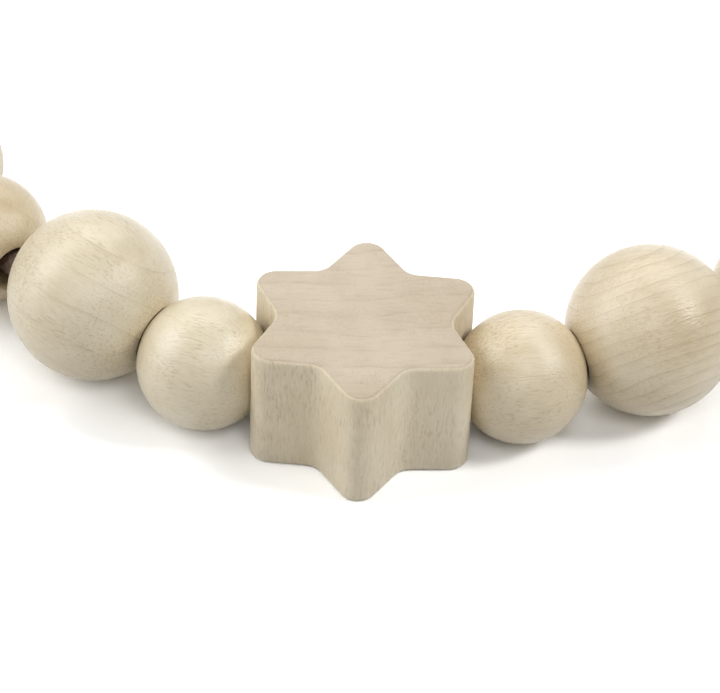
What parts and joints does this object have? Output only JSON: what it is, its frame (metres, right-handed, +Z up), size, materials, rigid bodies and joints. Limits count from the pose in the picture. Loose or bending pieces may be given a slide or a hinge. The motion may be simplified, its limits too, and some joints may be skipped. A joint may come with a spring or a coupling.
{
  "type": "wooden pacifier chain",
  "caption": "Wooden pacifier chain: round beads and a star bead threaded on a braided cord, with a steel grip clip on a turned wooden disc.",
  "frame": {"origin": "centre of the star bead's lower face, on the table", "axes": "+X along the cord through the star, away from the clip end; +Y away from the picture's camera; +Z up"},
  "size_m": [0.1558, 0.0993, 0.02],
  "materials": {
    "bead_wood": "pale maple, satin lacquer",
    "star_wood": "pale beech, satin lacquer",
    "disc_wood": "pale beech, satin lacquer",
    "cord_cotton": "braided waxed cotton, dark brown",
    "steel": "nickel-plated sheet and wire, satin",
    "pad_plastic": "moulded, matt"
  },
  "bodies": {
    "middle_cord": {"cord_star": "cord_cotton"},
    "star": {"star_bead": "star_wood"},
    "left_first_cord": {"small_cord_left": "cord_cotton"},
    "left_first_bead": {"small_bead_left": "bead_wood"},
    "left_second_cord": {"large_cord_left": "cord_cotton"},
    "left_second_bead": {"large_bead_left": "bead_wood"},
    "left_third_cord": {"outer_cord_left": "cord_cotton"},
    "left_third_bead": {"outer_bead_left": "bead_wood"},
    "left_end_cord": {"end_cord_left": "cord_cotton", "cord_knot_left": "cord_cotton", "cord_clip_loop": "cord_cotton"},
    "left_end_bead": {"end_bead_left": "bead_wood"},
    "clip": {"clip_wooden_disc": "disc_wood", "clip_base_plate": "steel", "clip_hinge_pin": "steel", "clip_spring": "steel", "clip_screw_front": "steel", "clip_screw_rear": "steel"},
    "lever": {"clip_lever": "steel", "clip_jaw_pad": "pad_plastic"},
    "right_first_cord": {"small_cord_right": "cord_cotton"},
    "right_first_bead": {"small_bead_right": "bead_wood"},
    "right_second_cord": {"large_cord_right": "cord_cotton"},
    "right_second_bead": {"large_bead_right": "bead_wood"},
    "right_end_cord": {"outer_cord_right": "cord_cotton", "cord_knot_right": "cord_cotton"},
    "right_end_bead": {"outer_bead_right": "bead_wood"}
  },
  "joints": [
    {"name": "star_spin", "type": "hinge", "parent": "middle_cord", "child": "star", "pos_m": [0, 0, 0.00775], "axis": [1, 0, 0], "continuous": true},
    {"name": "left_first_bend", "type": "hinge", "parent": "middle_cord", "child": "left_first_cord", "pos_m": [-0.01827, 0, 0.00775], "axis": [0, 0, 1], "range_deg": [-12, 78]},
    {"name": "left_first_spin", "type": "hinge", "parent": "left_first_cord", "child": "left_first_bead", "pos_m": [-0.01827, 0, 0.00775], "axis": [-0.9586, 0.2849, 0], "continuous": true},
    {"name": "left_second_bend", "type": "hinge", "parent": "left_first_cord", "child": "left_second_cord", "pos_m": [-0.01827, 0, 0.00775], "axis": [0.5461, 0.8377, 0], "range_deg": [-30, 30]},
    {"name": "left_second_spin", "type": "hinge", "parent": "left_second_cord", "child": "left_second_bead", "pos_m": [-0.03171, 0.00876, 0.01], "axis": [-0.8296, 0.5408, 0.1389], "continuous": true},
    {"name": "left_third_bend", "type": "hinge", "parent": "left_second_cord", "child": "left_third_cord", "pos_m": [-0.03171, 0.00876, 0.01], "axis": [0, 0, 1], "range_deg": [-37, 53]},
    {"name": "left_third_spin", "type": "hinge", "parent": "left_third_cord", "child": "left_third_bead", "pos_m": [-0.04598, 0.02134, 0.00775], "axis": [-0.606, 0.7955, 0], "continuous": true},
    {"name": "left_fourth_bend", "type": "hinge", "parent": "left_third_cord", "child": "left_end_cord", "pos_m": [-0.04598, 0.02134, 0.00775], "axis": [0, 0, 1], "range_deg": [-22, 67]},
    {"name": "left_end_spin", "type": "hinge", "parent": "left_end_cord", "child": "left_end_bead", "pos_m": [-0.05286, 0.03545, 0.00775], "axis": [-0.5075, 0.8616, 0], "continuous": true},
    {"name": "clip_swing", "type": "hinge", "parent": "left_end_cord", "child": "clip", "pos_m": [-0.06469, 0.05345, 0.0078], "axis": [0.8191, 0.5736, 0], "range_deg": [-30, 50]},
    {"name": "lever_hinge", "type": "hinge", "parent": "clip", "child": "lever", "pos_m": [-0.07576, 0.06925, 0.0119], "axis": [0.8191, 0.5736, 0], "range_deg": [0, 25], "stiffness_Nm_per_rad": 0.03, "springref_deg": -28.65, "deforming": ["clip_spring"]},
    {"name": "right_first_bend", "type": "hinge", "parent": "middle_cord", "child": "right_first_cord", "pos_m": [0.01827, 0, 0.00775], "axis": [0, 0, 1], "range_deg": [-69, 21]},
    {"name": "right_first_spin", "type": "hinge", "parent": "right_first_cord", "child": "right_first_bead", "pos_m": [0.01827, 0, 0.00775], "axis": [0.9781, 0.2079, 0], "continuous": true},
    {"name": "right_second_bend", "type": "hinge", "parent": "right_first_cord", "child": "right_second_cord", "pos_m": [0.01827, 0, 0.00775], "axis": [0.4067, -0.9135, 0], "range_deg": [-30, 30]},
    {"name": "right_second_spin", "type": "hinge", "parent": "right_second_cord", "child": "right_second_bead", "pos_m": [0.03321, 0.00665, 0.01], "axis": [0.905, 0.4029, 0.1363], "continuous": true},
    {"name": "right_third_bend", "type": "hinge", "parent": "right_second_cord", "child": "right_end_cord", "pos_m": [0.03321, 0.00665, 0.01], "axis": [0, 0, 1], "range_deg": [-56, 34]},
    {"name": "right_end_spin", "type": "hinge", "parent": "right_end_cord", "child": "right_end_bead", "pos_m": [0.04875, 0.01761, 0.00775], "axis": [0.8171, 0.5764, 0], "continuous": true}
  ]
}
